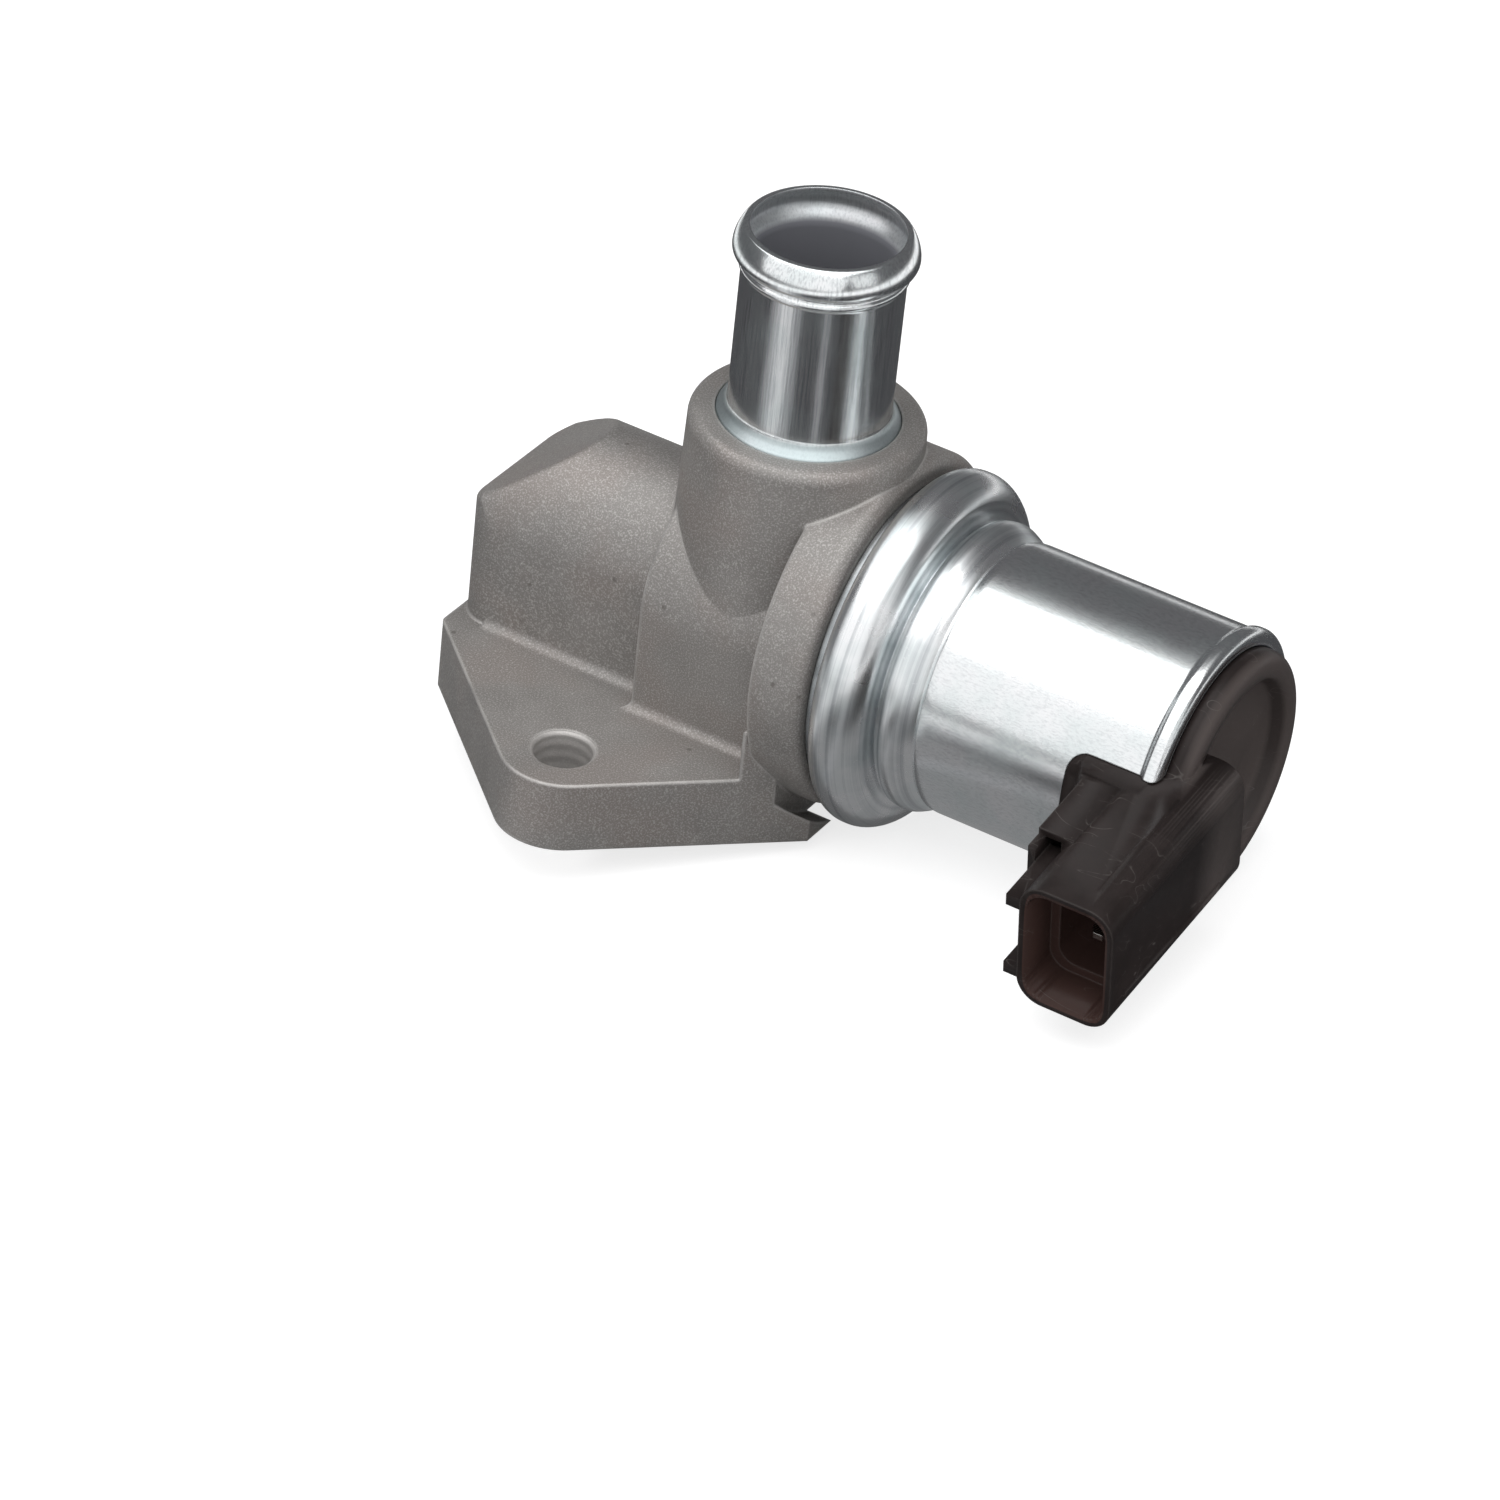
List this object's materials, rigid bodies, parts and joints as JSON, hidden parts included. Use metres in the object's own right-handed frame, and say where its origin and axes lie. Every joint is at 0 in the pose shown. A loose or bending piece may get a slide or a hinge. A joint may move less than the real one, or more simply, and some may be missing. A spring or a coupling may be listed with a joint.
{
  "type": "idle air control valve",
  "caption": "Solenoid idle air control valve: cast body with a two-bolt flange, bolt-on air ports, an upright hose nipple, a steel solenoid can and an angled plug socket.",
  "frame": {"origin": "centre of the flange's mounting face, midway between the two air ports and between the two bolt holes", "axes": "+Z leaves the mounting face towards the hose nipple, +X runs along the valve and solenoid axis to the plug end, -Y is the side the plug socket opens on"},
  "size_m": [0.1027, 0.0717, 0.0714],
  "materials": {
    "cast_aluminium": "as-cast, fine shot-blasted grain",
    "zinc_steel_tube": "bright zinc plate with lengthwise draw marks",
    "zinc_steel_can": "bright zinc plate, drawn and rolled",
    "seat_brass": "turned brass",
    "bush_bronze": "sintered bronze",
    "stem_steel": "ground stainless steel",
    "poppet_metal": "turned aluminium",
    "seal_rubber": "moulded fluoro rubber",
    "spring_steel": "bright spring wire",
    "plate_steel": "zinc-plated soft magnetic steel",
    "tube_brass": "thin drawn brass",
    "shim_plastic": "natural low-friction plastic",
    "bobbin_plastic": "moulded glass-filled plastic",
    "winding_copper": "enamelled copper wire",
    "cap_plastic": "moulded black glass-filled plastic, semi-matt",
    "blade_tin": "tin-plated brass"
  },
  "bodies": {
    "valve_housing": {"valve_body": "cast_aluminium", "hose_nipple": "zinc_steel_tube", "valve_seat": "seat_brass", "guide_bush": "bush_bronze", "return_spring": "spring_steel", "front_plate": "plate_steel", "body_seal": "seal_rubber", "front_bush": "bush_bronze", "solenoid_can": "zinc_steel_can", "armature_tube": "tube_brass", "pole_piece": "plate_steel", "rear_bush": "bush_bronze", "coil_bobbin": "bobbin_plastic", "coil_winding": "winding_copper", "flux_washer": "plate_steel", "cap_seal": "seal_rubber", "connector_cap": "cap_plastic", "upper_terminal": "blade_tin", "lower_terminal": "blade_tin"},
    "plunger": {"valve_stem": "stem_steel", "poppet_valve": "poppet_metal", "poppet_seal": "seal_rubber", "stem_clip": "spring_steel", "armature": "plate_steel", "armature_shim": "shim_plastic"}
  },
  "joints": [
    {"name": "valve_lift", "type": "slide", "parent": "valve_housing", "child": "plunger", "axis": [1, 0, 0], "range_m": [0, 0.004], "stiffness_N_per_m": 600, "springref_m": -0.006, "deforming": ["return_spring"]}
  ]
}
